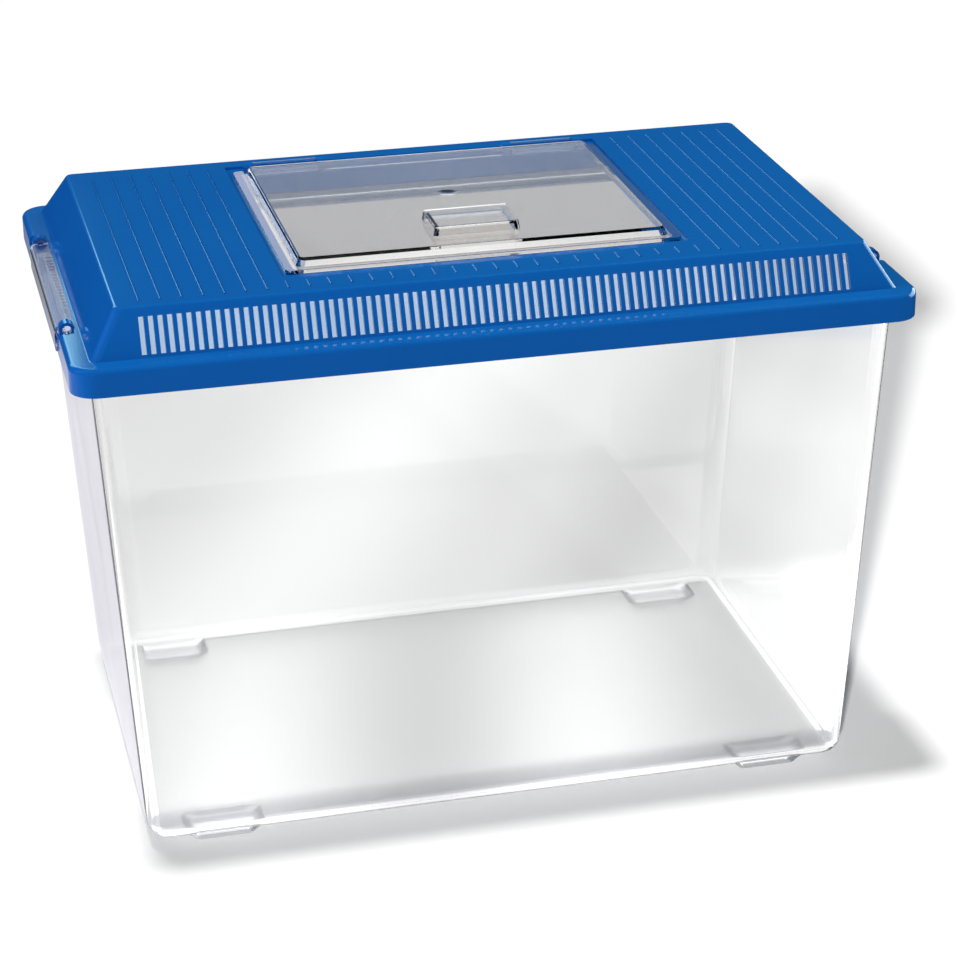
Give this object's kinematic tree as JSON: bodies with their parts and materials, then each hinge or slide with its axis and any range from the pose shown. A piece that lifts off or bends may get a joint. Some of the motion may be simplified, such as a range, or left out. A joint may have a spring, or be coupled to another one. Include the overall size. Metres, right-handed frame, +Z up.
{
  "type": "fish transport box",
  "caption": "Clear rectangular tank with a ventilated lid, a hinged clear feeding hatch in the lid and a hinged snap clip on each short side.",
  "frame": {"origin": "middle of the box on the surface it stands on, level with the undersides of the feet", "axes": "+X along the length to the right as seen from the front, -Y the front with the vent slots, +Z up"},
  "size_m": [0.3674, 0.2196, 0.2625],
  "materials": {
    "clear_tank": "clear polystyrene, polished",
    "blue_lid": "blue moulded plastic, semi-gloss",
    "clear_hatch": "clear polystyrene, polished",
    "clear_clip": "clear plastic, slightly cloudy"
  },
  "bodies": {
    "tank": {"tank": "clear_tank"},
    "lid": {"lid": "blue_lid"},
    "feeding_hatch": {"feeding_hatch": "clear_hatch"},
    "left_clip": {"left_clip": "clear_clip"},
    "right_clip": {"right_clip": "clear_clip"}
  },
  "joints": [
    {"name": "lid_lift", "type": "slide", "parent": "tank", "child": "lid", "axis": [0, 0, 1], "range_m": [0, 0.15]},
    {"name": "hatch_hinge", "type": "hinge", "parent": "lid", "child": "feeding_hatch", "pos_m": [0, 0.0773, 0.2552], "axis": [-1, 0, 0], "range_deg": [0, 110]},
    {"name": "left_clip_hinge", "type": "hinge", "parent": "lid", "child": "left_clip", "pos_m": [-0.1788, 0, 0.234], "axis": [0, 1, 0], "range_deg": [0, 110]},
    {"name": "right_clip_hinge", "type": "hinge", "parent": "lid", "child": "right_clip", "pos_m": [0.1788, 0, 0.234], "axis": [0, -1, 0], "range_deg": [0, 110]}
  ]
}
